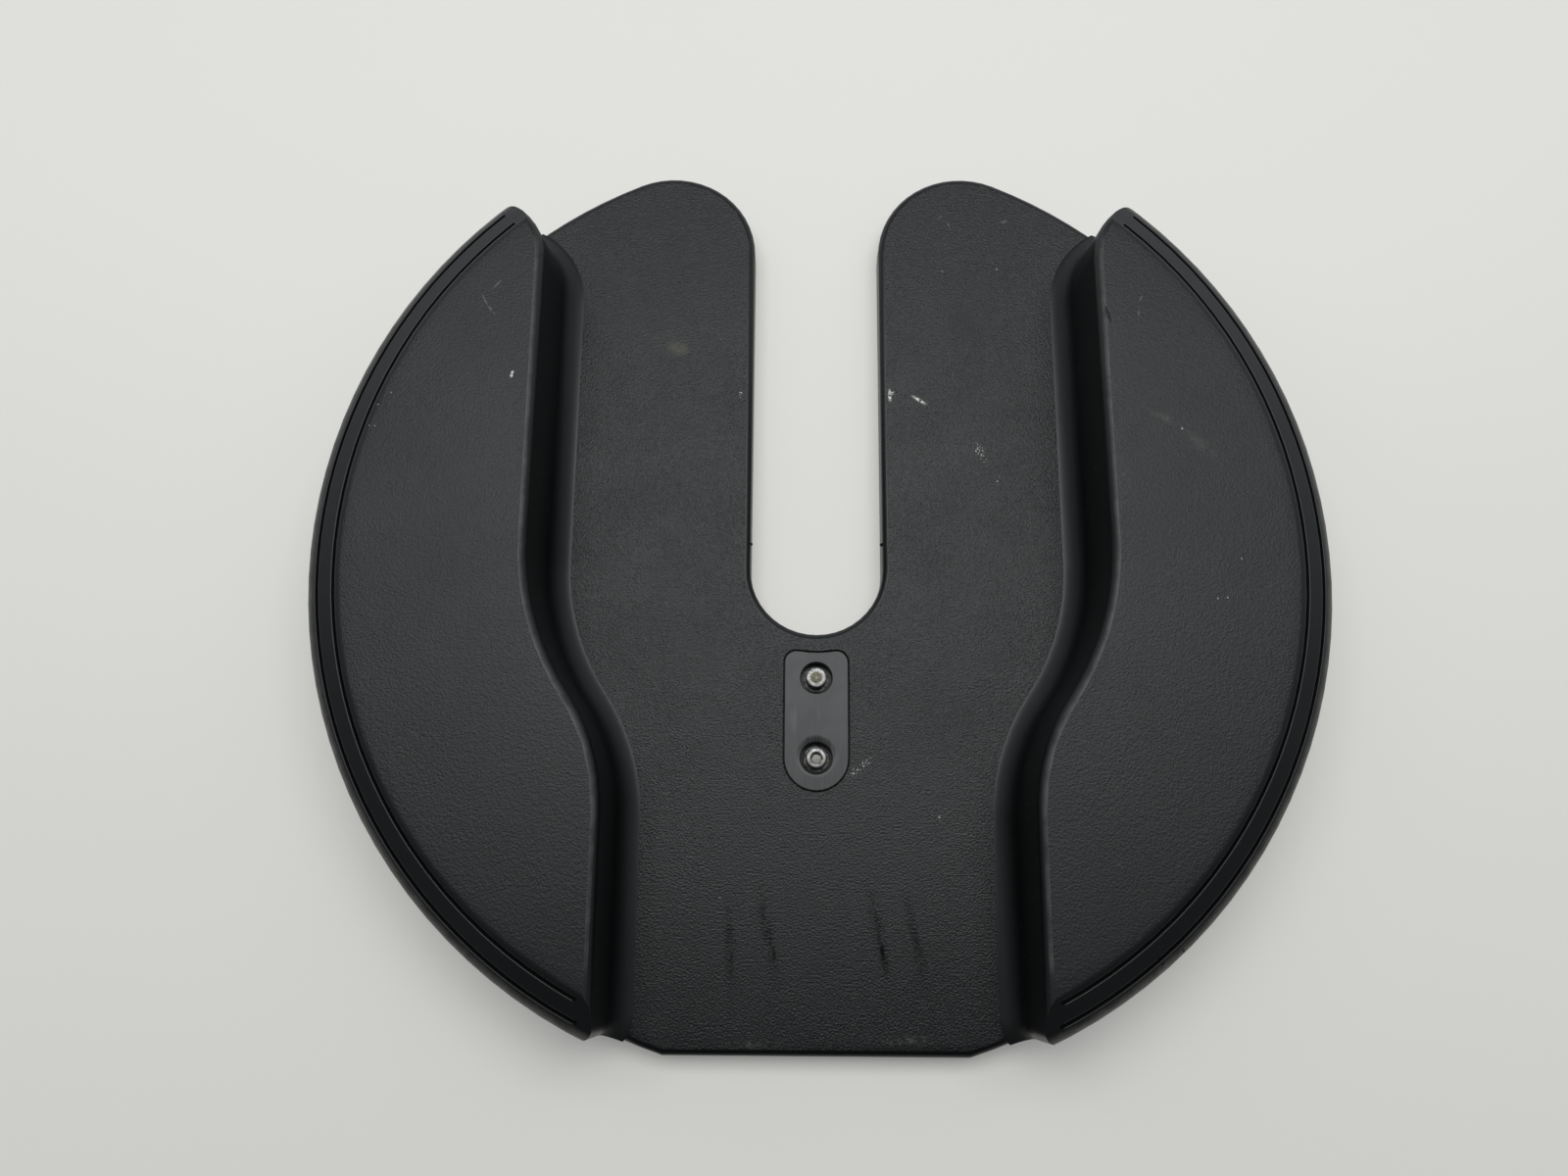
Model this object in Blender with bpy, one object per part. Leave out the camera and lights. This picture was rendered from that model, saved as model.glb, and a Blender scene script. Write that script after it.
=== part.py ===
"""Splash guard of a hand-held rotary surface cleaner.

A moulded disc with a slot for the machine's neck, a sunken channel across it and a raised hollow wing on each
side, with two fine grooves along each wing's rim. Two screws clamp a small plate at the slot's end.
Lengths are in metres. The pieces are drawn about the disc's axis, and the rest plane is z = 0.
"""

import math

import bmesh
import bpy

# Disc and plate
DISC_RADIUS = 0.1300
PLATE_STEP = 0.0002
FLAT_CUT = 0.0058
PLATE_TOP = 0.0090
WALL = 0.0030
EDGE_ROUND = 0.0019

# Neck slot, open at the back of the disc; its round end is centred a little behind the disc's axis
SLOT_WIDTH = 0.0360
SLOT_SHIFT = 0.0011
MOUTH_ROUND = 0.0243

# Wings: a flat top, a shoulder, a sloping band and a round lip
WING_TOP = 0.0360
SHOULDER_RUN = 0.0018
SHOULDER_DROP = 0.0006
BAND_INSET = 0.0086
BAND_SLOPE = math.radians(22.0)
LIP_ROUND = 0.0042

# Channel wall: half width at the wing's top, the double bend that narrows it, the flare and the rounded tips
WALL_WIDE = 0.0736
BEND_SHIFT = 0.0214
BEND_START = 0.0025
BEND_WIDE_RADIUS = 0.0700
BEND_NARROW_RADIUS = 0.0500
FLARE_RADIUS = 0.0184
BACK_TIP_REACH = 0.0113
BACK_TIP_ROUND = 0.0049
FRONT_TIP_ROUND = 0.0028
WALL_DRAFT = math.radians(3.7)
WALL_TOP_ROUND = 0.0025
WALL_FOOT_ROUND = 0.0060

# Rim grooves, one at each edge of the sloping band
GROOVE_WIDTH = 0.0009
GROOVE_FLOOR = 0.0004
GROOVE_DEPTH = 0.0009
GROOVE_INNER_INSET = 0.0004
GROOVE_OUTER_INSET = 0.0009
GROOVE_BACK_RUN = 0.0010
GROOVE_FRONT_MARGIN = 0.0034

# Clip plate, set back from the slot's end, and the tapped plate under it
CLIP_WIDTH = 0.0172
CLIP_FRONT_HOLLOW = 0.0300
CLIP_FLANGE = 0.0016
CLIP_LEDGE = 0.0022
CLIP_EDGE_ROUND = 0.0003
PLUG_CORNER = 0.0010
PAD_MARGIN = 0.0030
PAD_SETBACK = 0.0020
NUT_PLATE_THICKNESS = 0.0020

# Socket screws, washers and counterbores
SCREW_SETBACK = 0.0070
SCREW_SPACING = 0.0213
SCREW_RADIUS = 0.0015
HEAD_RADIUS = 0.00275
HEAD_HEIGHT = 0.0030
HEAD_CHAMFER = 0.0002
HEAD_PROUD = 0.0004
SOCKET_FLATS = 0.0025
SOCKET_DEPTH = 0.0013
SOCKET_SIDES = 6
WASHER_RIM = 0.00075
WASHER_THICKNESS = 0.0005
COUNTERBORE_GAP = 0.0006
COUNTERBORE_CHAMFER = 0.0003

# Fits
CLEARANCE = 0.0003

# Drawing aids: how far a facet may lie inside its arc, steps of a rounding, and how cutters run past a face
FACET_SAG = 0.00005
SMALL_FACETS = 32
ROUND_STEPS = 4
TIP_STEPS = 7
LEAST_ROUND = 0.0002
SHARP_ANGLE = math.radians(28.0)
OVERRUN = 0.0040
CROSSING = math.radians(15.0)
CROSSING_RUN = 0.0006

# Sizes that follow from the ones above
SLOT_HALF = SLOT_WIDTH / 2
PLATE_RADIUS = DISC_RADIUS - PLATE_STEP
FLAT_DISTANCE = PLATE_RADIUS - FLAT_CUT
MOUTH_X = SLOT_HALF + MOUTH_ROUND
MOUTH_Y = math.sqrt((PLATE_RADIUS - MOUTH_ROUND) ** 2 - MOUTH_X ** 2)
BOX_MIDDLE_Y = (MOUTH_Y + MOUTH_ROUND - FLAT_DISTANCE) / 2
RIM_EXIT = math.sqrt((DISC_RADIUS + OVERRUN) ** 2 - DISC_RADIUS ** 2)
BEND_RADII = BEND_WIDE_RADIUS + BEND_NARROW_RADIUS
BEND_ANGLE = math.acos(1 - BEND_SHIFT / BEND_RADII)
BEND_END = BEND_START - BEND_RADII * math.sin(BEND_ANGLE)
WALL_NARROW = WALL_WIDE - BEND_SHIFT
BACK_TIP_X = WALL_WIDE + BACK_TIP_REACH
BACK_TIP_Y = math.sqrt((DISC_RADIUS - BACK_TIP_ROUND) ** 2 - BACK_TIP_X ** 2)
FLARE_X = WALL_WIDE + FLARE_RADIUS
FLARE_Y = BACK_TIP_Y - math.sqrt((FLARE_RADIUS - BACK_TIP_ROUND) ** 2 - (BACK_TIP_X - FLARE_X) ** 2)
SHOULDER_ROUND = (SHOULDER_RUN ** 2 + SHOULDER_DROP ** 2) / (2 * SHOULDER_DROP)
SHOULDER_TURN = math.asin(SHOULDER_RUN / SHOULDER_ROUND)
BAND_RADIUS = DISC_RADIUS - BAND_INSET
BAND_TOP = WING_TOP - SHOULDER_DROP
BAND_WIDTH = (BAND_INSET - LIP_ROUND * (1 - math.sin(BAND_SLOPE))) / math.cos(BAND_SLOPE)
CLIP_CORNER = CLIP_LEDGE + PLUG_CORNER
CLIP_FRONT_Y = SLOT_SHIFT - SLOT_HALF - PAD_SETBACK - PAD_MARGIN
FRONT_SCREW_Y = CLIP_FRONT_Y - SCREW_SETBACK
REAR_SCREW_Y = FRONT_SCREW_Y - SCREW_SPACING
HEAD_TOP = PLATE_TOP + HEAD_PROUD
HEAD_SEAT = HEAD_TOP - HEAD_HEIGHT
WASHER_RADIUS = HEAD_RADIUS + WASHER_RIM
WASHER_TOP = HEAD_SEAT - CLEARANCE
COUNTERBORE_RADIUS = WASHER_RADIUS + COUNTERBORE_GAP
COUNTERBORE_FLOOR = WASHER_TOP - WASHER_THICKNESS - CLEARANCE
HOLE_RADIUS = SCREW_RADIUS + CLEARANCE
NUT_PLATE_TOP = CLEARANCE + NUT_PLATE_THICKNESS
PAD_BOTTOM = NUT_PLATE_TOP + CLEARANCE


def clear_scene():
    for item in list(bpy.data.objects):
        bpy.data.objects.remove(item)


def material(name, color, roughness, metallic=0.0):
    made = bpy.data.materials.new(name)
    made.use_nodes = True
    shader = made.node_tree.nodes["Principled BSDF"]
    shader.inputs["Base Color"].default_value = (*color, 1.0)
    shader.inputs["Roughness"].default_value = roughness
    shader.inputs["Metallic"].default_value = metallic
    return made


def arc_steps(radius, turn):
    """How many facets keep an arc of this radius and turn true to FACET_SAG."""
    return max(ROUND_STEPS, math.ceil(abs(turn) / (2 * math.acos(1 - FACET_SAG / radius))))


def arc(centre, radius, start, end, steps):
    """Points of an arc, both ends included, with angles in radians."""
    points = []
    for step in range(steps + 1):
        angle = start + (end - start) * step / steps
        points.append((centre[0] + radius * math.cos(angle), centre[1] + radius * math.sin(angle)))
    return points


def mirrored(points):
    """The points on the other side of the YZ plane, in reverse, so that an outline keeps its direction."""
    return [(-x, y) for x, y in reversed(points)]


def mesh_object(name, mesh_builder, parent, look=None):
    """A named object from a bmesh; without a material it is a cutter or a tool."""
    mesh = bpy.data.meshes.new(name)
    mesh_builder.to_mesh(mesh)
    mesh_builder.free()
    mesh.shade_smooth()
    mesh.set_sharp_from_angle(angle=SHARP_ANGLE)
    made = bpy.data.objects.new(name, mesh)
    bpy.context.collection.objects.link(made)
    made.parent = parent
    if look is None:
        made.hide_render = True
        made.display_type = "WIRE"
    else:
        mesh.materials.append(look)
    return made


def bridged(loops_of_points):
    """A closed solid through loops of 3-D points, each loop with the same count, with both ends capped."""
    built = bmesh.new()
    loops = [[built.verts.new(point) for point in points] for points in loops_of_points]
    for near, far in zip(loops, loops[1:]):
        for i, corner in enumerate(near):
            after = (i + 1) % len(near)
            built.faces.new((corner, near[after], far[after], far[i]))
    built.faces.new(list(reversed(loops[0])))
    built.faces.new(loops[-1])
    bmesh.ops.recalc_face_normals(built, faces=built.faces)
    return built


def loft(rings):
    """A closed solid through rings of (outline, z)."""
    return bridged([[(x, y, z) for x, y in outline] for outline, z in rings])


def sweep(section, start, end):
    """A closed solid from a section of (radius, z) points carried round the Z axis between two angles."""
    facets = arc_steps(DISC_RADIUS, end - start)
    loops = []
    for step in range(facets + 1):
        angle = start + (end - start) * step / facets
        loops.append([(r * math.cos(angle), r * math.sin(angle), z) for r, z in section])
    return bridged(loops)


def polygon(radius, sides):
    """Corners of a regular polygon about the Z axis."""
    return arc((0.0, 0.0), radius, 0.0, 2 * math.pi * (1 - 1 / sides), sides - 1)


def lathe(profile, facets):
    """A closed solid of revolution from a profile of (radius, z) points, from top to bottom."""
    return loft([(polygon(radius, facets), z) for radius, z in profile])


def combine(target, tool, operation):
    modifier = target.modifiers.new(tool.name, "BOOLEAN")
    modifier.operation = operation
    modifier.solver = "EXACT"
    modifier.object = tool


def plate_outline(grow):
    """The disc's outline with its front flat and its neck slot, moved outwards by grow."""
    radius = PLATE_RADIUS + grow
    corner = -math.asin((FLAT_DISTANCE + grow) / radius)
    mouth = math.atan2(MOUTH_Y, MOUTH_X)
    rim_steps = arc_steps(PLATE_RADIUS, mouth + math.pi / 2)
    right = arc((0.0, 0.0), radius, corner, mouth, rim_steps)
    mouth_steps = arc_steps(MOUTH_ROUND, math.pi - mouth)
    right += arc((MOUTH_X, MOUTH_Y), MOUTH_ROUND + grow, mouth, math.pi, mouth_steps)[1:]
    slot_steps = arc_steps(SLOT_HALF, math.pi / 2)
    right += arc((0.0, SLOT_SHIFT), SLOT_HALF - grow, 0.0, -math.pi / 2, slot_steps)
    return right + mirrored(right[:-1])


def back_tip(offset):
    """Centre and radius of the rounding between a wing's flare and its rim, and where it meets both."""
    radius = max(BACK_TIP_ROUND - offset, LEAST_ROUND)
    reach = math.hypot(FLARE_X, FLARE_Y)
    rim = DISC_RADIUS - offset - radius
    flare = FLARE_RADIUS - offset - radius
    spread = math.acos((reach ** 2 + rim ** 2 - flare ** 2) / (2 * reach * rim))
    at_rim = math.atan2(FLARE_Y, FLARE_X) + spread
    centre = (rim * math.cos(at_rim), rim * math.sin(at_rim))
    at_flare = math.atan2(centre[1] - FLARE_Y, centre[0] - FLARE_X)
    return centre, radius, at_rim, at_flare


def front_tip(offset):
    """Centre and radius of the rounding between a wing's front wall and rim, and where it meets the rim."""
    radius = max(FRONT_TIP_ROUND - offset, LEAST_ROUND)
    x = WALL_NARROW + offset + radius
    y = -math.sqrt((DISC_RADIUS - offset - radius) ** 2 - x ** 2)
    return (x, y), radius, math.atan2(y, x)


def wall_path(offset, rounded):
    """The right-hand channel wall in plan, from behind the disc to before it, moved into the wing."""
    tip, radius, at_rim, at_flare = back_tip(offset)
    path = []
    if rounded:
        path = arc(tip, radius, at_rim, at_flare, TIP_STEPS)[:-1]
        path.insert(0, (path[0][0] + RIM_EXIT * math.sin(at_rim), path[0][1] - RIM_EXIT * math.cos(at_rim)))
    else:
        at_flare = at_rim
    path += arc((FLARE_X, FLARE_Y), FLARE_RADIUS - offset, at_flare, math.pi, TIP_STEPS)
    wide_steps = arc_steps(BEND_WIDE_RADIUS, BEND_ANGLE)
    wide_centre = (WALL_WIDE - BEND_WIDE_RADIUS, BEND_START)
    path += arc(wide_centre, BEND_WIDE_RADIUS + offset, 0.0, -BEND_ANGLE, wide_steps)
    narrow_steps = arc_steps(BEND_NARROW_RADIUS, BEND_ANGLE)
    narrow_centre = (WALL_NARROW + BEND_NARROW_RADIUS, BEND_END)
    path += arc(narrow_centre, BEND_NARROW_RADIUS - offset, math.pi - BEND_ANGLE, math.pi, narrow_steps)[1:]
    if rounded:
        tip, radius, at_rim = front_tip(offset)
        path += arc(tip, radius, -math.pi, at_rim, TIP_STEPS)
        path.append((path[-1][0] - RIM_EXIT * math.sin(at_rim), path[-1][1] + RIM_EXIT * math.cos(at_rim)))
    return path


def channel_outline(offset, rounded):
    """The channel in plan, open past the disc at both ends."""
    path = wall_path(offset, rounded)
    past = DISC_RADIUS + OVERRUN
    right = [(path[0][0], past)] + path + [(path[-1][0], -past)]
    return right + mirrored(right)


def wall_profile(grow):
    """The channel wall's section as (offset, z), upwards, moved into the wing by grow."""
    slope_cos = math.cos(WALL_DRAFT)
    slope_sin = math.sin(WALL_DRAFT)
    foot_z = PLATE_TOP + WALL_FOOT_ROUND
    foot_offset = (slope_sin * (foot_z - WING_TOP) - WALL_FOOT_ROUND) / slope_cos
    foot_radius = WALL_FOOT_ROUND + grow
    foot = arc((foot_offset, foot_z), foot_radius, CROSSING - math.pi / 2, -WALL_DRAFT, ROUND_STEPS)
    dip = (foot[0][0] - CROSSING_RUN, foot[0][1] - CROSSING_RUN * math.tan(CROSSING))
    section = [(dip[0], -2 * OVERRUN), dip] + foot
    over = WING_TOP + OVERRUN
    if grow == 0:
        top_centre = (WALL_TOP_ROUND * (1 - slope_sin) / slope_cos, WING_TOP - WALL_TOP_ROUND)
        section += arc(top_centre, WALL_TOP_ROUND, math.pi - WALL_DRAFT, math.pi / 2 + CROSSING, ROUND_STEPS)
        rim = section[-1]
        section.append((rim[0] + CROSSING_RUN, rim[1] + CROSSING_RUN * math.tan(CROSSING)))
        section.append((section[-1][0], over))
    else:
        lean = (over - section[-1][1]) * math.tan(WALL_DRAFT)
        section.append((section[-1][0] + lean, over))
    return section


def channel(grow):
    return loft([(channel_outline(offset, grow == 0), z) for offset, z in wall_profile(grow)])


def wing_section(grow):
    """Half section of the wings as (radius, z), from the flat top to the outer wall, moved inwards."""
    tilt_sin = math.sin(BAND_SLOPE)
    tilt_cos = math.cos(BAND_SLOPE)
    top_centre = (BAND_RADIUS - SHOULDER_RUN, WING_TOP - SHOULDER_ROUND)
    shoulder_end = math.pi / 2 - SHOULDER_TURN
    section = arc(top_centre, SHOULDER_ROUND, math.pi / 2, shoulder_end, ROUND_STEPS)
    if grow > 0:
        section = [(BAND_RADIUS - SHOULDER_RUN - grow * tilt_sin, WING_TOP - grow)]
        section.append((BAND_RADIUS - grow * tilt_sin, BAND_TOP - grow * tilt_cos))
    band = section[-1]
    rim = DISC_RADIUS - grow
    lip = max(LIP_ROUND - grow, LEAST_ROUND)
    lip_start = rim - lip * (1 - tilt_sin)
    lip_z = band[1] - (lip_start - band[0]) * math.tan(BAND_SLOPE) - lip * tilt_cos
    section += arc((rim - lip, lip_z), lip, math.pi / 2 - BAND_SLOPE, 0.0, ROUND_STEPS)
    section.append((rim, -OVERRUN))
    return section


def groove_cutter(side, middle):
    """A cutter for one rim groove, middle along the sloping band; side is 1 on the right, -1 on the left."""
    along = (math.cos(BAND_SLOPE), -math.sin(BAND_SLOPE))
    across = (math.sin(BAND_SLOPE), math.cos(BAND_SLOPE))
    mouth = GROOVE_WIDTH - GROOVE_FLOOR / 2
    corners = [(-GROOVE_FLOOR / 2, -GROOVE_DEPTH), (GROOVE_FLOOR / 2, -GROOVE_DEPTH)]
    corners += [(mouth, GROOVE_DEPTH), (-mouth, GROOVE_DEPTH)]
    section = []
    for s, n in corners:
        r = BAND_RADIUS + (middle + s) * along[0] + n * across[0]
        section.append((r, BAND_TOP + (middle + s) * along[1] + n * across[1]))
    radius = BAND_RADIUS + middle * along[0]
    back = math.atan2(BACK_TIP_Y, BACK_TIP_X) + GROOVE_BACK_RUN / radius
    front = -math.acos((WALL_NARROW + GROOVE_FRONT_MARGIN) / radius)
    if side > 0:
        return sweep(section, front, back)
    return sweep(section, math.pi - back, math.pi - front)


def clip_outline(grow):
    """The clip plate in plan, round about the rear screw, hollow towards the slot, moved outwards by grow."""
    half = CLIP_WIDTH / 2
    hollow_centre = (0.0, CLIP_FRONT_Y + CLIP_FRONT_HOLLOW)
    corner_x = half - CLIP_CORNER
    drop = math.sqrt((CLIP_FRONT_HOLLOW + CLIP_CORNER) ** 2 - corner_x ** 2)
    corner_centre = (corner_x, hollow_centre[1] - drop)
    lean = math.atan2(corner_x, drop)
    quarter = math.pi / 2
    right = arc((0.0, REAR_SCREW_Y), half + grow, -quarter, 0.0, arc_steps(half, quarter))
    right += arc(corner_centre, CLIP_CORNER + grow, 0.0, quarter + lean, arc_steps(CLIP_CORNER, quarter))
    right += arc(hollow_centre, CLIP_FRONT_HOLLOW - grow, lean - quarter, -quarter, ROUND_STEPS)[1:]
    return right + mirrored(right[1:-1])


def screw_places():
    return {"front": (0.0, FRONT_SCREW_Y, 0.0), "rear": (0.0, REAR_SCREW_Y, 0.0)}


def add_guard_shell(parent, look):
    """Disc, channel and hollow wings as one moulding with an open underside."""
    turn_facets = arc_steps(DISC_RADIUS, 2 * math.pi)
    shell = mesh_object("guard_shell", lathe(wing_section(0.0), turn_facets), parent, look)
    combine(shell, mesh_object("channel_cutter", channel(0.0), parent), "DIFFERENCE")

    plate_rings = [(plate_outline(0.0), -OVERRUN * 1.5)]
    for inset, z in arc((-EDGE_ROUND, PLATE_TOP - EDGE_ROUND), EDGE_ROUND, 0.0, math.pi / 2, ROUND_STEPS):
        plate_rings.append((plate_outline(inset), z))
    combine(shell, mesh_object("plate_body", loft(plate_rings), parent), "UNION")

    hollow = mesh_object("wing_hollow", lathe(wing_section(WALL), turn_facets), parent)
    combine(hollow, mesh_object("channel_backing", channel(WALL), parent), "DIFFERENCE")
    combine(shell, hollow, "DIFFERENCE")

    under_rings = [(plate_outline(-WALL), -OVERRUN * 2), (plate_outline(-WALL), PLATE_TOP - WALL)]
    combine(shell, mesh_object("plate_hollow", loft(under_rings), parent), "DIFFERENCE")

    pad_rings = [(clip_outline(PAD_MARGIN), PAD_BOTTOM), (clip_outline(PAD_MARGIN), PLATE_TOP - WALL / 2)]
    combine(shell, mesh_object("clip_pad", loft(pad_rings), parent), "UNION")

    pocket = clip_outline(CLEARANCE)
    window = clip_outline(CLEARANCE - CLIP_LEDGE)
    pocket_floor = PLATE_TOP - CLIP_FLANGE - CLEARANCE
    pocket_rings = [(window, -OVERRUN), (window, pocket_floor)]
    pocket_rings += [(pocket, pocket_floor), (pocket, PLATE_TOP + OVERRUN)]
    combine(shell, mesh_object("clip_pocket", loft(pocket_rings), parent), "DIFFERENCE")

    for side, name in ((1, "right"), (-1, "left")):
        inner = groove_cutter(side, GROOVE_INNER_INSET)
        outer = groove_cutter(side, BAND_WIDTH - GROOVE_OUTER_INSET)
        combine(shell, mesh_object(name + "_inner_groove", inner, parent), "DIFFERENCE")
        combine(shell, mesh_object(name + "_outer_groove", outer, parent), "DIFFERENCE")

    reach = DISC_RADIUS + OVERRUN
    square = [(-reach, -reach), (reach, -reach), (reach, reach), (-reach, reach)]
    below = loft([(square, -3 * OVERRUN), (square, 0.0)])
    combine(shell, mesh_object("rest_plane", below, parent), "DIFFERENCE")


def screw_hole(name, parent, place, stepped):
    """A cutter for one screw's hole; a stepped hole has a counterbore with a broken edge."""
    profile = [(HOLE_RADIUS, PLATE_TOP + OVERRUN), (HOLE_RADIUS, -OVERRUN)]
    if stepped:
        edge = COUNTERBORE_RADIUS + COUNTERBORE_CHAMFER
        profile = [
            (edge + OVERRUN, PLATE_TOP + OVERRUN),
            (COUNTERBORE_RADIUS, PLATE_TOP - COUNTERBORE_CHAMFER),
            (COUNTERBORE_RADIUS, COUNTERBORE_FLOOR),
            (HOLE_RADIUS, COUNTERBORE_FLOOR),
            (HOLE_RADIUS, -OVERRUN),
        ]
    cutter = mesh_object(name, lathe(profile, SMALL_FACETS), parent)
    cutter.location = place
    return cutter


def add_clip_plate(parent, look):
    """The flush plate: a plug through the shell's window under a flange that seats on the window's ledge."""
    plug = clip_outline(-CLIP_LEDGE)
    flange = clip_outline(0.0)
    flange_bottom = PLATE_TOP - CLIP_FLANGE
    rings = [(plug, PAD_BOTTOM), (plug, flange_bottom), (flange, flange_bottom)]
    rings += [(flange, PLATE_TOP - CLIP_EDGE_ROUND), (clip_outline(-CLIP_EDGE_ROUND), PLATE_TOP)]
    plate = mesh_object("clip_plate", loft(rings), parent, look)
    for name, place in screw_places().items():
        combine(plate, screw_hole(name + "_counterbore", parent, place, True), "DIFFERENCE")


def add_nut_plate(parent, look):
    """The tapped plate under the shell that the screws draw up against the clip plate."""
    outline = clip_outline(0.0)
    plate = mesh_object("nut_plate", loft([(outline, CLEARANCE), (outline, NUT_PLATE_TOP)]), parent, look)
    for name, place in screw_places().items():
        combine(plate, screw_hole(name + "_tapped_hole", parent, place, False), "DIFFERENCE")


def add_screws(parent, look):
    profile = [
        (HEAD_RADIUS - HEAD_CHAMFER, HEAD_TOP),
        (HEAD_RADIUS, HEAD_TOP - HEAD_CHAMFER),
        (HEAD_RADIUS, HEAD_SEAT),
        (SCREW_RADIUS, HEAD_SEAT),
        (SCREW_RADIUS, CLEARANCE),
    ]
    hexagon = polygon(SOCKET_FLATS / 2 / math.cos(math.pi / SOCKET_SIDES), SOCKET_SIDES)
    for name, place in screw_places().items():
        screw = mesh_object(name + "_screw", lathe(profile, SMALL_FACETS), parent, look)
        screw.location = place
        socket_rings = [(hexagon, HEAD_TOP - SOCKET_DEPTH), (hexagon, HEAD_TOP + OVERRUN)]
        socket = mesh_object(name + "_socket", loft(socket_rings), parent)
        socket.location = place
        combine(screw, socket, "DIFFERENCE")


def add_washers(parent, look):
    profile = [(WASHER_RADIUS, WASHER_TOP), (WASHER_RADIUS, WASHER_TOP - WASHER_THICKNESS)]
    for name, place in screw_places().items():
        washer = mesh_object(name + "_washer", lathe(profile, SMALL_FACETS), parent, look)
        washer.location = place
        combine(washer, screw_hole(name + "_washer_hole", parent, place, False), "DIFFERENCE")


def main():
    clear_scene()
    centre = bpy.data.objects.new("disc_axis", None)
    centre.location = (0.0, -BOX_MIDDLE_Y, 0.0)
    bpy.context.collection.objects.link(centre)
    add_guard_shell(centre, material("grained_plastic", (0.022, 0.023, 0.023), 0.55))
    add_clip_plate(centre, material("clip_plastic", (0.030, 0.031, 0.031), 0.45))
    add_nut_plate(centre, material("plated_steel", (0.55, 0.55, 0.53), 0.4, 1.0))
    add_screws(centre, material("screw_steel", (0.50, 0.49, 0.47), 0.45, 1.0))
    add_washers(centre, material("washer_steel", (0.38, 0.37, 0.35), 0.5, 1.0))


main()
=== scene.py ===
"""Looks of the splash guard: materials, screw detail, wear, floor, light and the photograph's camera."""

import math

import bmesh
import bpy
from mathutils import Matrix, Vector


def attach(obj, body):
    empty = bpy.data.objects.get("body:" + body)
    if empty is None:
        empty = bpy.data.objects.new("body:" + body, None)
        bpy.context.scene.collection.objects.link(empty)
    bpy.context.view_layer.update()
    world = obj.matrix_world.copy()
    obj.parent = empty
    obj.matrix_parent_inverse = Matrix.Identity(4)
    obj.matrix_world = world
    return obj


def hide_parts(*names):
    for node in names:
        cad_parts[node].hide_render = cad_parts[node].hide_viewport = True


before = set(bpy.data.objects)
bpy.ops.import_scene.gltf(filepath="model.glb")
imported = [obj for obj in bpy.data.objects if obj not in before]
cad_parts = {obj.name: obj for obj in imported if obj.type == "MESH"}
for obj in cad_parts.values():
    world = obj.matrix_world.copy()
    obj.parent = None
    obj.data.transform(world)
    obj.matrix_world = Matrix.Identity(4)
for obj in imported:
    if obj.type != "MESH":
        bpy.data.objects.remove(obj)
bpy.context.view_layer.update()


def gray(level, tint=(1.0, 1.0, 1.0)):
    return (level * tint[0], level * tint[1], level * tint[2], 1.0)


MM = 0.001

# Places on the shell, in the part's frame
AXIS_Y = 1.525 * MM                    # the disc's axis
BAND_RADIUS = 121.4 * MM               # start of the sloping rim band
BAND_SLOPE = math.radians(22.0)
GROOVES = (0.4 * MM, 5.543 * MM)       # middles of the rim grooves, measured down the band
GROOVE_EDGE = (0.40 * MM, 0.78 * MM)   # a groove's rounded edge, measured from its middle
GROOVE_EDGE_HEIGHT = 0.17 * MM
GROOVE_END_X = (56.1 * MM, 56.8 * MM)  # the grooves start here, out from the middle plane
ROLL_START = 116.5 * MM                # from here out to the band the wings' tops roll off a little
ROLL_SLOPE = 0.060                     # slope of that roll where it meets the band
WING_RISE = (15.0 * MM, 25.0 * MM)     # heights between the plate and the wings' tops
FOOT_RISE = (8.8 * MM, 9.4 * MM)       # the walls' round feet start just at the plate's top
FOOT_FADE = (12.0 * MM, 18.0 * MM)
HANDLED_Y = (-115.0 * MM, -30.0 * MM)  # the grain is worn towards the front
HANDLED_GRAIN = (0.6, 1.0)

# The normal's upward share, from off to on
FLAT = (0.975, 0.998)
RAISED = (0.3, 0.6)

# Shell finish, with a painted shade, a painted highlight and a painted reflection
SHELL_DARK = gray(0.0020, (0.92, 1.0, 1.08))
SHELL_LIGHT = gray(0.0034, (0.95, 1.0, 1.05))
# Painted shade: steep faces, the channel walls most, are darker and bluer
STEEP_PAINTED_SHADE = gray(0.0008, (0.8, 1.0, 1.3))
GRAIN_PALE = gray(0.0120, (1.0, 1.02, 1.0))
# Painted highlight along the wings' inner top edges
EDGE_PAINTED_HIGHLIGHT = gray(0.042, (1.0, 0.99, 0.97))
# Painted reflection of the pale table on the lip's outer face, brownish
LIP_PAINTED_REFLECTION = gray(0.055, (1.0, 0.95, 0.86))
STAIN_COLOR = (0.10, 0.096, 0.064, 1.0)
SCUFF_COLOR = (0.66, 0.64, 0.58, 1.0)
SHELL_ROUGHNESS = (0.325, 0.355)
SHELL_IOR = 1.375
GRAIN_SCALE = 1900.0
GRAIN_HEIGHT = 0.22 * MM
FINE_GRAIN_SCALE = 4200.0
FINE_GRAIN_HEIGHT = 0.05 * MM
RIPPLE_HEIGHT = 0.006 * MM
DRAW_MARK_HEIGHT = 0.035 * MM
NICK_DEPTH = 0.40 * MM

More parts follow.
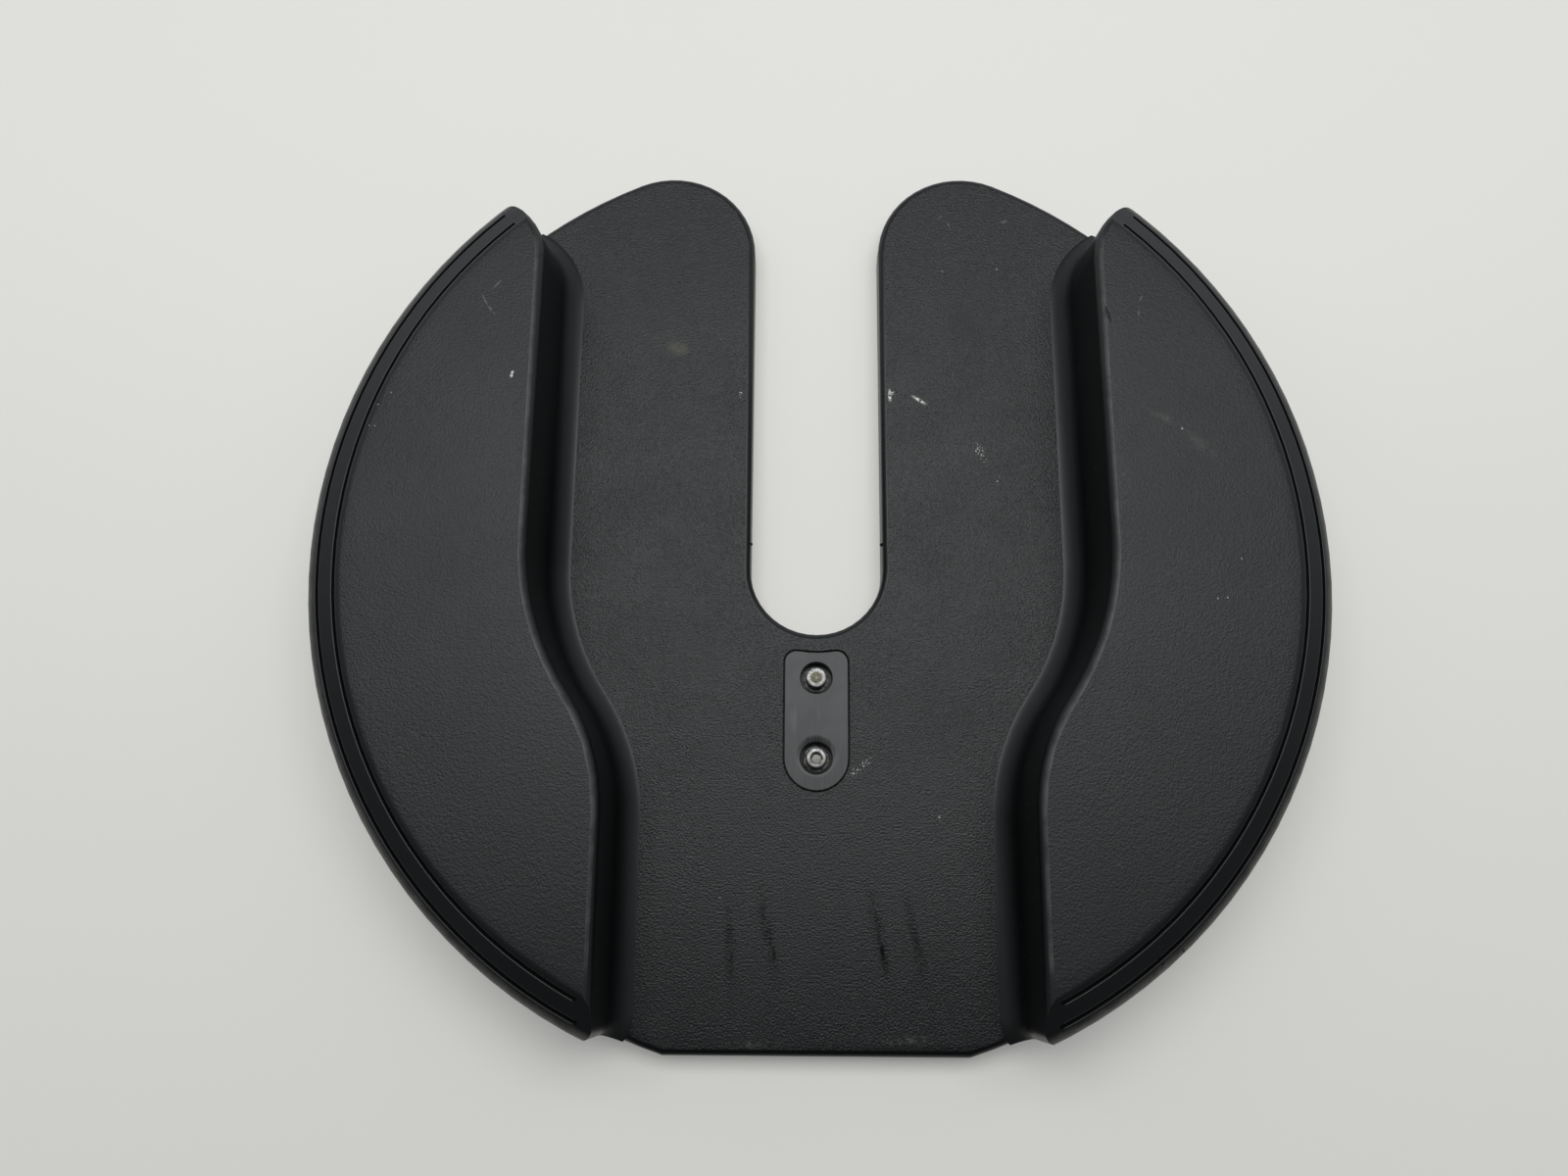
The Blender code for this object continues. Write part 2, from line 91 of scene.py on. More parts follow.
# Marks are given as x, y, half length, half width (all in millimetres) and angle in degrees
STREAKS = (
    (-21.9, -94.0, 21.0, 2.4, -86.5),
    (-12.9, -89.5, 21.0, 2.9, -80.0),
    (15.4, -90.5, 21.5, 2.9, -79.5),
    (25.0, -93.0, 21.0, 2.4, -79.0),
)
STREAK_TAILS = (
    (-11.1, -96.0, 10.5, 1.3, -79.0),
    (16.6, -96.5, 12.5, 1.6, -79.0),
)
SCUFFS = (
    (20.7, 53.3, 2.6, 0.62, 91.0),
    (21.4, 54.0, 0.9, 0.55, 25.0),
    (28.9, 52.0, 3.0, 0.62, -33.0),
    (-79.7, 47.6, 1.3, 0.62, 80.0),
)
FAINT_SCUFFS = (
    (30.6, 50.5, 4.2, 1.1, -37.0),
    (23.0, -118.6, 9.0, 2.2, 0.0),
    (-15.0, -119.4, 11.0, 1.4, 0.0),
    (70.4, -75.7, 1.8, 1.3, 10.0),
)
LOOSE_SCUFFS = (
    (45.5, 36.6, 3.9, 1.7, -62.0),
    (50.5, 28.1, 1.7, 0.8, 88.0),
    (11.6, -50.9, 5.6, 1.1, 36.0),
    (-21.4, 53.8, 1.5, 0.6, 88.0),
)
SCRATCHES = (
    (-88.2, 68.6, 2.4, 0.40, -64.0),
    (-86.2, 65.7, 2.2, 0.45, -48.0),
    (-85.2, 73.2, 2.4, 0.30, 50.0),
    (83.9, 65.2, 2.3, 0.32, 87.0),
    (84.8, 69.6, 1.4, 0.30, 60.0),
    (77.0, 20.8, 1.4, 0.28, -12.0),
    (36.2, 109.5, 1.2, 0.30, 50.0),
    (38.8, 106.6, 1.8, 0.30, -65.0),
    (54.7, 108.1, 1.6, 0.70, 15.0),
)
TRAILS = (
    (88.0, 36.4, 6.5, 1.8, -28.0),
    (97.5, 29.0, 9.0, 2.4, -42.0),
)
SMUDGE = (42.7, 74.5, 9.0, 6.0, -60.0)
STAIN = (-39.7, 67.6, 4.4, 3.2, -15.0)
NICK = (75.8, 65.2, 3.0, 0.42, -72.0)
CLIP_WORN = (-6.0, -38.5, 5.5, 1.6, 90.0)
CLIP_WORN_SIDE = (5.2, -48.5, 3.5, 1.2, 80.0)
CLIP_SCRATCH = (0.7, -37.0, 5.4, 0.26, -84.0)
CLIP_DIP = (0.0, -48.1, 5.6, 5.6, 0.0)
CLIP_DIP_DEPTH = 0.55 * MM

# Specks: x, y and radius in millimetres
SPECKS = (
    (93.0, 33.2, 0.40), (98.6, -11.4, 0.30), (101.0, -11.2, 0.30), (105.3, -1.2, 0.28),
    (52.2, 92.7, 0.32), (-110.8, 42.3, 0.25), (-113.9, 39.0, 0.25), (-115.6, 33.2, 0.22),
    (-114.2, 33.1, 0.22), (31.9, -63.7, 0.4), (36.4, 92.0, 0.25),
)
# Bits of flash left on the lip and the slot's sides: x, y, z and radius in millimetres
BURRS = (
    (85.4, -94.9, 31.9, 0.7),
    (80.4, -97.9, 33.1, 0.6),
    (-91.2, -89.1, 31.8, 0.4),
    (17.9, 10.1, 7.6, 0.5),
    (-17.9, 10.1, 7.6, 0.4),
)

# Screws: places along y, and sizes; depths in the socket are measured from the head's top
SCREWS = {"front": -27.375 * MM, "rear": -48.675 * MM}
SOCKET_MOUTHS = {"front": 1.55 * MM, "rear": 1.70 * MM}
SCREW_SIDES = 96
HEAD_RADIUS = 2.75 * MM
HEAD_TOP = 9.4 * MM
HEAD_SEAT = 6.4 * MM
HEAD_EDGE = ((0.55, 0.0), (0.32, 0.03), (0.14, 0.11), (0.04, 0.26))  # inset and drop in millimetres
HEAD_FOOT_INSET = 0.06 * MM
KNURL_TOP = 0.42 * MM                  # below the head's top
KNURL_FOOT = 0.30 * MM                 # above its seat
KNURL_DEPTH = 0.10 * MM
KNURL_EVERY = 3                        # sides to a notch
SOCKET_FLATS = 2.50 * MM
MOUTH_INSET = 0.06 * MM
MOUTH_DROP = 0.12 * MM
SOCKET_LEAD = 0.30 * MM
SOCKET_DEPTH = 1.30 * MM
SOCKET_POINT = 1.75 * MM
SHANK_RADIUS = 1.5 * MM
SHANK_END = 0.3 * MM
SHANK_END_RADIUS = 1.15 * MM
SHANK_NECK = 0.4 * MM
THREAD_START = 0.5 * MM                # below the head's seat
THREAD_RUNOUT = 0.15 * MM
THREAD_DEPTH = 0.15 * MM
THREAD_LEVELS = 34
PITCH = 0.5 * MM

# Heaps of dirt and flash
LUMP_ROUNDS = 7
LUMP_SIDES = 36
LUMP_ROOT = 0.2 * MM                   # how far a heap goes on below its lower edge
BURR_SINK = 0.5                        # a burr's lower edge and top, from its place, in millimetres
BURR_RISE = 0.3

# Smooth shading of the added pieces and the CAD nodes
PIECE_SHARP_ANGLE = 35.0
NODE_SHARP_ANGLE = 30.0
WELD_DISTANCE = 2e-6
METAL_EDGE = 0.06 * MM
BEVEL_ANGLE = 40.0

# Floor, light and camera
FLOOR_HALF = 3.0
FLOOR_DROP = 0.2 * MM
FLOOR_GLOW = 0.3                       # share of the floor's own light, for what sees it directly
# The table's painted light, brighter towards the back
GLOW_Y = (-0.30, 0.22)
GLOW_LEVELS = (0.60, 0.86)
LAMP_SIZE = (1.1, 0.50)
LAMP_ENERGY = 8.4
LAMP_COLOR = (0.972, 1.0, 1.01)
LAMP_PLACE = (0.0, 0.29, 0.97)
ROOM_COLOR = (0.87, 0.94, 1.0, 1.0)
PHOTO_WIDTH = 1600.0
FOCAL_PIXELS = 1202.0
SENSOR_WIDTH = 36.0
CAMERA_PLACE = (-0.005674, -0.078049, 0.320051)
CAMERA_AXES = (
    (0.999939, 0.007255, -0.008352),
    (-0.005087, 0.971934, 0.235200),
    (0.009823, -0.235143, 0.971911),
)


class Nodes:
    """A node tree, with short calls for the nodes that are used here."""

    def __init__(self, tree):
        self.tree = tree

    def feed(self, socket, value):
        if isinstance(value, bpy.types.NodeSocket):
            self.tree.links.new(value, socket)
        else:
            socket.default_value = value

    def add(self, kind, *values, **settings):
        node = self.tree.nodes.new(kind)
        for key, value in settings.items():
            setattr(node, key, value)
        for socket, value in zip(node.inputs, values):
            self.feed(socket, value)
        return node

    def math(self, operation, a, b=0.0, clamp=False):
        return self.add("ShaderNodeMath", a, b, operation=operation, use_clamp=clamp).outputs[0]

    def total(self, *values):
        made = values[0]
        for value in values[1:]:
            made = self.math("ADD", made, value)
        return made

    def times(self, *values):
        made = values[0]
        for value in values[1:]:
            made = self.math("MULTIPLY", made, value)
        return made

    def most(self, *values):
        made = values[0]
        for value in values[1:]:
            made = self.math("MAXIMUM", made, value)
        return made

    def rest(self, value):
        return self.math("SUBTRACT", 1.0, value)

    def ramp(self, value, low, high, start=0.0, end=1.0):
        node = self.add("ShaderNodeMapRange", interpolation_type="SMOOTHSTEP")
        self.feed(node.inputs["Value"], value)
        node.inputs["From Min"].default_value = low
        node.inputs["From Max"].default_value = high
        node.inputs["To Min"].default_value = start
        node.inputs["To Max"].default_value = end
        return node.outputs[0]


class Graph(Nodes):
    """A material's node tree."""

    def __init__(self, name):
        self.material = bpy.data.materials.new(name)
        self.material.use_nodes = True
        super().__init__(self.material.node_tree)
        self.shader = self.tree.nodes["Principled BSDF"]
        self.place = self.add("ShaderNodeTexCoord").outputs["Object"]
        self.x, self.y, self.z = self.add("ShaderNodeSeparateXYZ", self.place).outputs
        normal = self.add("ShaderNodeNewGeometry").outputs["Normal"]
        self.up = self.add("ShaderNodeSeparateXYZ", normal).outputs["Z"]

    def finish(self, color, roughness, height):
        """Feeds the shader; the height is in metres."""
        self.feed(self.shader.inputs["Base Color"], color)
        self.feed(self.shader.inputs["Roughness"], roughness)
        relief = self.add("ShaderNodeBump")
        relief.inputs["Strength"].default_value = 1.0
        relief.inputs["Distance"].default_value = 1.0
        self.feed(relief.inputs["Height"], height)
        self.feed(self.shader.inputs["Normal"], relief.outputs[0])
        return self.material

    def noise(self, scale, detail=2.0, roughness=0.5, place=None, stretch=None, seed=0.0):
        place = place or self.place
        if stretch or seed:
            moved = self.add("ShaderNodeMapping", place)
            moved.inputs["Location"].default_value = (seed, seed * 0.7, seed * 1.3)
            moved.inputs["Scale"].default_value = stretch or (1.0, 1.0, 1.0)
            place = moved.outputs[0]
        node = self.add("ShaderNodeTexNoise")
        self.feed(node.inputs["Vector"], place)
        node.inputs["Scale"].default_value = scale
        node.inputs["Detail"].default_value = detail
        node.inputs["Roughness"].default_value = roughness
        return node.outputs[0]

    def centred(self, *values, **settings):
        """Noise about 0, so that a height made from it doesn't step where it ends."""
        return self.math("SUBTRACT", self.noise(*values, **settings), 0.5)

    def mark(self, x, y, half_length, half_width, angle, soft=0.35):
        """1 inside an upright elliptic column about (x, y) in millimetres, falling to 0 at its edge."""
        moved = self.add("ShaderNodeMapping", self.place, vector_type="TEXTURE")
        moved.inputs["Location"].default_value = (x * MM, y * MM, 0.0)
        moved.inputs["Rotation"].default_value = (0.0, 0.0, math.radians(angle))
        moved.inputs["Scale"].default_value = (half_length * MM, half_width * MM, 1000.0)
        reach = self.add("ShaderNodeVectorMath", moved.outputs[0], operation="LENGTH")
        return self.ramp(reach.outputs["Value"], soft, 1.0, 1.0, 0.0)

    def marks(self, table, soft=0.35):
        return self.most(*[self.mark(*row, soft=soft) for row in table])

    def mix(self, amount, a, b):
        node = self.add("ShaderNodeMix", data_type="RGBA")
        self.feed(node.inputs["Factor"], amount)
        self.feed(node.inputs["A"], a)
        self.feed(node.inputs["B"], b)
        return node.outputs["Result"]


class Shell(Graph):
    """The shell's material, with the masks that its colour, roughness and height share."""

    def __init__(self):
        super().__init__("moulded_black_plastic")
        self.flat = self.ramp(self.up, *FLAT)
        self.raised = self.ramp(self.up, *RAISED)
        self.wing = self.ramp(self.z, *WING_RISE)
        self.handled = self.ramp(self.y, *HANDLED_Y, *HANDLED_GRAIN)
        self.out = self.math("SUBTRACT", self.y, AXIS_Y)
        squares = self.total(self.times(self.x, self.x), self.times(self.out, self.out))
        self.radius = self.math("SQRT", squares)
        self.streaks = self.rub_marks()
        self.white = self.white_marks()
        self.shader.inputs["IOR"].default_value = SHELL_IOR
        self.finish(self.color(), self.roughness(), self.height())

    def rub_marks(self):
        """Dark streaks in front of the clip plate."""
        torn = self.noise(650.0, 3.0, 0.65, stretch=(1.0, 0.3, 1.0))
        broken = self.ramp(torn, 0.35, 0.6, 0.45, 1.0)
        wide = self.times(self.marks(STREAKS, 0.0), 0.7)
        return self.times(self.most(wide, self.marks(STREAK_TAILS, 0.0)), broken, self.raised)

    def white_marks(self):
        """White scuffs broken up into specks, scratches, trails, dust on top and ticks on the walls."""
        close = self.ramp(self.noise(1900.0, 2.0, 0.6, seed=1.0), 0.42, 0.52)
        loose = self.ramp(self.noise(2100.0, 1.0, 0.5, seed=5.0), 0.61, 0.66)
        thin = self.ramp(self.noise(900.0, 2.0), 0.35, 0.6)
        patchy = self.ramp(self.noise(700.0, 3.0, 0.65), 0.42, 0.7)
        drift = self.ramp(self.noise(520.0, 4.0, 0.7, seed=12.0), 0.3, 0.75)
        specks = self.most(*[self.mark(x, y, r, r, 0.0, soft=0.3) for x, y, r in SPECKS])
        on_top = self.most(
            self.times(close, self.marks(SCUFFS)),
            self.times(loose, self.marks(LOOSE_SCUFFS)),
            self.times(thin, self.marks(SCRATCHES), 0.12),
            self.times(patchy, self.marks(FAINT_SCUFFS, 0.0), 0.065),
            self.times(drift, self.marks(TRAILS, 0.0), 0.05),
            self.times(specks, 0.45),
            self.dust(),
        )
        return self.most(self.times(self.raised, on_top), self.ticks())

    def dust(self):
        """Specks of dust in a few of the cells."""
        cells = self.add("ShaderNodeTexVoronoi")
        self.feed(cells.inputs["Vector"], self.place)
        cells.inputs["Scale"].default_value = 85.0
        draw = self.add("ShaderNodeSeparateXYZ", cells.outputs["Color"]).outputs["X"]
        near = self.ramp(cells.outputs["Distance"], 0.014, 0.030, 1.0, 0.0)
        return self.times(near, self.ramp(draw, 0.78, 0.80), 0.30)

    def ticks(self):
        """Short upright marks on the channel walls."""
        upright = self.noise(1500.0, 1.0, 0.5, stretch=(1.0, 1.0, 0.28), seed=8.0)
        steep = self.ramp(self.up, 0.15, 0.3, 1.0, 0.0)
        above = self.ramp(self.z, 12.0 * MM, 16.0 * MM)
        return self.times(self.ramp(upright, 0.715, 0.75), steep, above, 0.05)

    def color(self):
        tone = self.ramp(self.noise(24.0, 3.0, 0.55, seed=2.0), 0.3, 0.7)
        color = self.mix(tone, SHELL_DARK, SHELL_LIGHT)
        # Painted shade: steep faces are mixed towards a darker, bluer colour
        color = self.mix(self.ramp(self.up, 0.3, 0.8, 1.0, 0.0), color, STEEP_PAINTED_SHADE)

        grain = self.ramp(self.noise(2300.0, 2.0, 0.6, seed=4.0), 0.36, 0.66)
        pale = self.times(grain, self.flat, self.rest(self.streaks), self.handled)
        pale = self.times(pale, self.rest(self.times(self.wing, 0.6)))
        color = self.mix(pale, color, GRAIN_PALE)

        # Painted highlight along the wings' inner top edges, and a painted reflection of the table on
        # the lip, both broken up by noise
        sheen_breakup = self.ramp(self.noise(240.0, 3.0, 0.6, seed=6.0), 0.3, 0.65, 0.35, 1.0)
        turn = self.times(self.ramp(self.up, 0.72, 0.93), self.ramp(self.up, 0.985, 0.998, 1.0, 0.0))
        inner = self.ramp(self.radius, 112.0 * MM, 118.0 * MM, 1.0, 0.0)
        edges = self.times(inner, self.ramp(self.z, 33.0 * MM, 34.5 * MM))
        color = self.mix(self.times(turn, edges, sheen_breakup), color, EDGE_PAINTED_HIGHLIGHT)
        # Painted reflection of the table on the lip's outer face
        outer = self.ramp(self.radius, 127.0 * MM, 128.8 * MM)
        lip_reflection = self.times(outer, self.ramp(self.z, 26.0 * MM, 31.0 * MM), sheen_breakup)
        color = self.mix(lip_reflection, color, LIP_PAINTED_REFLECTION)

        blot = self.ramp(self.noise(500.0, 3.0), 0.2, 0.6, 0.3, 1.0)
        stain = self.times(self.mark(*STAIN, soft=0.2), blot, self.raised)
        color = self.mix(self.times(stain, 0.4), color, STAIN_COLOR)
        return self.mix(self.white, color, SCUFF_COLOR)

    def roughness(self):
        """Duller on the wings, wall feet, white marks and a smudge; smoother in the streaks."""
        mottle = self.noise(38.0, 4.0, 0.6, seed=11.0)
        rough = self.ramp(mottle, 0.25, 0.75, *SHELL_ROUGHNESS)
        low = self.times(self.ramp(self.z, *FOOT_RISE), self.ramp(self.z, *FOOT_FADE, 1.0, 0.0))
        foot = self.times(low, self.ramp(self.up, 0.84, 0.97, 1.0, 0.0))
        cloud = self.ramp(self.noise(260.0, 3.0), 0.35, 0.6)
        smudge = self.times(self.mark(*SMUDGE, soft=0.1), cloud, self.raised)
        rough = self.total(
            rough,
            self.times(self.wing, 0.07),
            self.times(smudge, 0.08),
            self.times(foot, 0.20),
        )
        rough = self.math("SUBTRACT", rough, self.times(self.streaks, 0.18))
        return self.math("ADD", rough, self.times(self.white, 0.25), clamp=True)

    def height(self):
        coarse = self.times(self.centred(GRAIN_SCALE, 2.0, 0.55), GRAIN_HEIGHT)
        fine = self.times(self.centred(FINE_GRAIN_SCALE, 1.0, 0.5, seed=3.0), FINE_GRAIN_HEIGHT)
        patches = self.ramp(self.noise(55.0, 2.0, 0.6, seed=7.0), 0.35, 0.7, 0.92, 1.06)
        worn = self.rest(self.times(self.streaks, 0.7))
        finer = self.rest(self.times(self.wing, 0.4))
        grain = self.times(
            self.total(coarse, fine), patches, self.times(worn, finer, self.handled), self.flat
        )
        ripple = self.times(self.centred(700.0, 3.0, 0.6, seed=9.0), RIPPLE_HEIGHT)
        height = self.total(grain, ripple)

        # The wings' tops roll off towards the rim band
        past = self.math("MAXIMUM", self.math("SUBTRACT", self.radius, ROLL_START), 0.0)
        bend = ROLL_SLOPE / (2 * (BAND_RADIUS - ROLL_START))
        roll = self.times(past, past, self.wing, bend)
        height = self.math("SUBTRACT", height, self.times(roll, self.ramp(self.up, 0.985, 0.995)))

        # Rounded edges of the grooves
        beyond = self.math("SUBTRACT", self.radius, BAND_RADIUS)
        down = self.math("DIVIDE", beyond, math.cos(BAND_SLOPE))
        high = self.ramp(self.z, 30.0 * MM, 30.5 * MM)
        inside = self.ramp(self.math("ABSOLUTE", self.x), *GROOVE_END_X)
        for middle in GROOVES:
            away = self.math("ABSOLUTE", self.math("SUBTRACT", down, middle))
            edge = self.times(self.ramp(away, *GROOVE_EDGE, 1.0, 0.0), high, inside, self.raised)
            height = self.math("SUBTRACT", height, self.times(edge, GROOVE_EDGE_HEIGHT))

        # Draw marks on the lip, and a nick in the right wing's inner edge
        angle = self.math("ARCTAN2", self.out, self.x)
        around = self.add("ShaderNodeCombineXYZ", angle, self.times(self.z, 1.5), 0.0).outputs[0]
        drawn = self.centred(330.0, 2.0, 0.6, place=around)
        lip = self.ramp(self.radius, 127.2 * MM, 128.0 * MM)
        on_lip = self.times(lip, self.ramp(self.z, 0.0, 2.0 * MM))
        height = self.math("ADD", height, self.times(drawn, on_lip, DRAW_MARK_HEIGHT))
        nick = self.times(self.mark(*NICK, soft=0.2), self.raised, NICK_DEPTH)
        return self.math("SUBTRACT", height, nick)


def clip_material():
    """Smooth plastic with drawn streaks, two worn places, a scratch and a dip about the rear screw."""
    g = Graph("smooth_black_plastic")
    streaks = g.noise(300.0, 4.0, 0.65, stretch=(6.0, 0.22, 1.0))
    cloud = g.noise(160.0, 2.0, 0.5, seed=4.0)
    worn = g.most(g.mark(*CLIP_WORN, 0.0), g.times(g.mark(*CLIP_WORN_SIDE, 0.0), 0.8))
    drawn = g.ramp(streaks, 0.3, 0.7)
    color = g.mix(drawn, gray(0.004, (1.0, 1.0, 1.02)), gray(0.030, (1.0, 0.99, 0.97)))
    color = g.mix(g.times(worn, drawn, 0.8), color, gray(0.07, (1.0, 0.98, 0.94)))
    color = g.mix(g.mark(*CLIP_SCRATCH, 0.0), color, gray(0.045))
    rough = g.total(g.ramp(streaks, 0.3, 0.7, 0.36, 0.44), g.ramp(cloud, 0.3, 0.7, 0.0, 0.05))
    dip = g.times(g.mark(*CLIP_DIP), -CLIP_DIP_DEPTH)
    drag = g.times(streaks, 0.01 * MM)
    return g.finish(color, rough, g.total(dip, drag))


def metal_material(name, bright, dark, dirt, roughness, scale):
    """Patchy plated metal with spots of dirt."""
    g = Graph(name)
    g.shader.inputs["Metallic"].default_value = 1.0
    patches = g.noise(scale, 4.0, 0.65)
    spots = g.ramp(g.noise(scale * 2.6, 3.0, 0.6, seed=2.0), 0.56, 0.72)
    color = g.mix(spots, g.mix(g.ramp(patches, 0.35, 0.65), bright, dark), dirt)
    rough = g.ramp(patches, 0.3, 0.7, *roughness)
    rough = g.math("ADD", rough, g.times(spots, 0.2), clamp=True)
    height = g.times(g.noise(scale * 5.0, 3.0, 0.6, seed=6.0), 0.012 * MM)
    return g.finish(color, rough, height)


def dirt_material(name, dark, light):
    g = Graph(name)
    grit = g.ramp(g.noise(2600.0, 4.0, 0.7), 0.3, 0.7)
    rough = g.ramp(grit, 0.2, 0.8, 0.75, 0.95)
    return g.finish(g.mix(grit, dark, light), rough, g.times(grit, 0.08 * MM))


def piece(name, built, material):
    mesh = bpy.data.meshes.new(name)
    built.to_mesh(mesh)
    built.free()
    mesh.shade_smooth()
    mesh.set_sharp_from_angle(angle=math.radians(PIECE_SHARP_ANGLE))
    mesh.materials.append(material)
    made = bpy.data.objects.new(name, mesh)
    bpy.context.collection.objects.link(made)
    return made


def ring(built, points):
    return [built.verts.new(point) for point in points]


def skin(built, near, far):
    for i in range(len(near)):
        after = (i + 1) % len(near)
        built.faces.new((near[i], near[after], far[after], far[i]))


def screw_mesh(y, mouth):
    """A cap screw: knurled head with a broken edge, six-sided socket with a round mouth, and thread."""
    built = bmesh.new()
    angles = [2 * math.pi * i / SCREW_SIDES for i in range(SCREW_SIDES)]

    def around(radii, z):
        points = [
            (r * math.cos(angle), y + r * math.sin(angle), z) for r, angle in zip(radii, angles)
        ]
        return ring(built, points)

    def circle(radius, z, knurl=0.0):
        cuts = [knurl if i % KNURL_EVERY == 0 else 0.0 for i in range(SCREW_SIDES)]
        return around([radius - cut for cut in cuts], z)

    def hexagon(z):
        turns = [angle % (math.pi / 3) - math.pi / 6 for angle in angles]
        return around([SOCKET_FLATS / 2 / math.cos(turn) for turn in turns], z)

    def thread(z):
        waves = [math.cos(2 * math.pi * (z / PITCH) + angle) for angle in angles]
        return around([SHANK_RADIUS - THREAD_DEPTH * (0.5 - 0.5 * wave) for wave in waves], z)

    rings = [
        hexagon(HEAD_TOP - SOCKET_DEPTH),
        hexagon(HEAD_TOP - SOCKET_LEAD),
        circle(mouth - MOUTH_INSET, HEAD_TOP - MOUTH_DROP),
        circle(mouth, HEAD_TOP),
    ]
    rings += [circle(HEAD_RADIUS - inset * MM, HEAD_TOP - drop * MM) for inset, drop in HEAD_EDGE]
    rings += [
        circle(HEAD_RADIUS, HEAD_TOP - KNURL_TOP, KNURL_DEPTH),
        circle(HEAD_RADIUS, HEAD_SEAT + KNURL_FOOT, KNURL_DEPTH),
        circle(HEAD_RADIUS - HEAD_FOOT_INSET, HEAD_SEAT),
        circle(SHANK_RADIUS, HEAD_SEAT),
        circle(SHANK_RADIUS, HEAD_SEAT - SHANK_NECK),
    ]
    bottom = built.verts.new((0.0, y, HEAD_TOP - SOCKET_POINT))
    socket = rings[0]
    for i in range(SCREW_SIDES):
        built.faces.new((socket[(i + 1) % SCREW_SIDES], socket[i], bottom))
    top = HEAD_SEAT - THREAD_START
    run = SHANK_END + THREAD_RUNOUT - top
    rings += [thread(top + run * level / THREAD_LEVELS) for level in range(THREAD_LEVELS + 1)]
    rings.append(circle(SHANK_END_RADIUS, SHANK_END))
    for near, far in zip(rings, rings[1:]):
        skin(built, near, far)
    built.faces.new(rings[-1])
    bmesh.ops.recalc_face_normals(built, faces=built.faces)
    return built


def lump(built, x, y, radius, z_low, z_high, seed):
    """Adds a small uneven closed heap to a mesh."""
    centre = built.verts.new((x, y, z_high))
    last = None
    for k in range(1, LUMP_ROUNDS + 1):
        share = k / LUMP_ROUNDS
        points = []
        for i in range(LUMP_SIDES):
            angle = 2 * math.pi * i / LUMP_SIDES
            r = radius * share * (1 + 0.05 * math.sin(4 * angle + 3 * seed))
            wobble = math.sin(3 * angle + seed) * math.sin(5 * k + seed)
            wobble += 0.6 * math.sin(7 * angle + 2 * k)
            rise = 1 - share ** 2 + 0.12 * wobble * (1 - share)
            z = z_low + (z_high - z_low) * rise
            points.append((x + r * math.cos(angle), y + r * math.sin(angle), z))
        now = ring(built, points)
        if last is None:
            for i in range(LUMP_SIDES):
                built.faces.new((centre, now[i], now[(i + 1) % LUMP_SIDES]))
        else:
            skin(built, last, now)
        last = now
    floor = ring(built, [(v.co.x, v.co.y, z_low - LUMP_ROOT) for v in last])
    skin(built, last, floor)
    built.faces.new(floor)


def heap(name, material, slot, *lumps):
    """A piece made of lumps, each given as x, y, radius, lower edge, top (in millimetres) and seed."""
    built = bmesh.new()
    for *sizes, seed in lumps:
        lump(built, *[size * MM for size in sizes], seed)
    bmesh.ops.recalc_face_normals(built, faces=built.faces)
    made = piece(name, built, material)
    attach(made, "root")


def smooth_node(node, bevel=0.0):
    """Joins a CAD node's split corners for smooth shading, without changing its shape."""
    for polygon in node.data.polygons:
        polygon.use_smooth = True
    weld = node.modifiers.new("weld", "WELD")
    weld.merge_threshold = WELD_DISTANCE
    if bevel:
        edge = node.modifiers.new("edge", "BEVEL")
        edge.width = bevel
        edge.segments = 2
        edge.limit_method = "ANGLE"
        edge.angle_limit = math.radians(BEVEL_ANGLE)
    split = node.modifiers.new("split", "EDGE_SPLIT")
    split.split_angle = math.radians(NODE_SHARP_ANGLE)
    weighted = node.modifiers.new("weighted", "WEIGHTED_NORMAL")
    weighted.weight = 70


def dress_nodes(shell):
    # Painted shade: the washers' zinc is darkened to stand for the shade inside the counterbores
    washer = metal_material(
        "washer_zinc_painted_shade",
        gray(0.10, (1.0, 0.97, 0.92)),
        gray(0.06, (1.0, 0.96, 0.88)),
        gray(0.03, (1.0, 0.85, 0.65)),
        (0.4, 0.6),
        700.0,
    )
    plated = metal_material(
        "plated_steel",
        gray(0.60, (1.0, 1.0, 0.97)),
        gray(0.48, (1.0, 0.99, 0.95)),
        gray(0.25, (1.0, 0.88, 0.7)),
        (0.3, 0.45),
        260.0,
    )
    looks = (
        ("guard_shell", shell, 0.0),
        ("clip_plate", clip_material(), 0.0),
        ("nut_plate", plated, METAL_EDGE),
        ("front_washer", washer, METAL_EDGE),
        ("rear_washer", washer, METAL_EDGE),
    )
    for name, look, bevel in looks:
        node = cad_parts[name]
        node.data.materials.clear()
        node.data.materials.append(look)
        smooth_node(node, bevel)


def add_screws():
    zinc = metal_material(
        "dull_zinc",
        gray(0.27, (1.0, 0.99, 0.96)),
        gray(0.16, (1.0, 0.98, 0.94)),
        gray(0.09, (1.0, 0.88, 0.68)),
        (0.32, 0.5),
        900.0,
    )
    for name, y in SCREWS.items():
        screw = piece(name + "_cap_screw", screw_mesh(y, SOCKET_MOUTHS[name]), zinc)
        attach(screw, "root")
        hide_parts(name + "_screw")


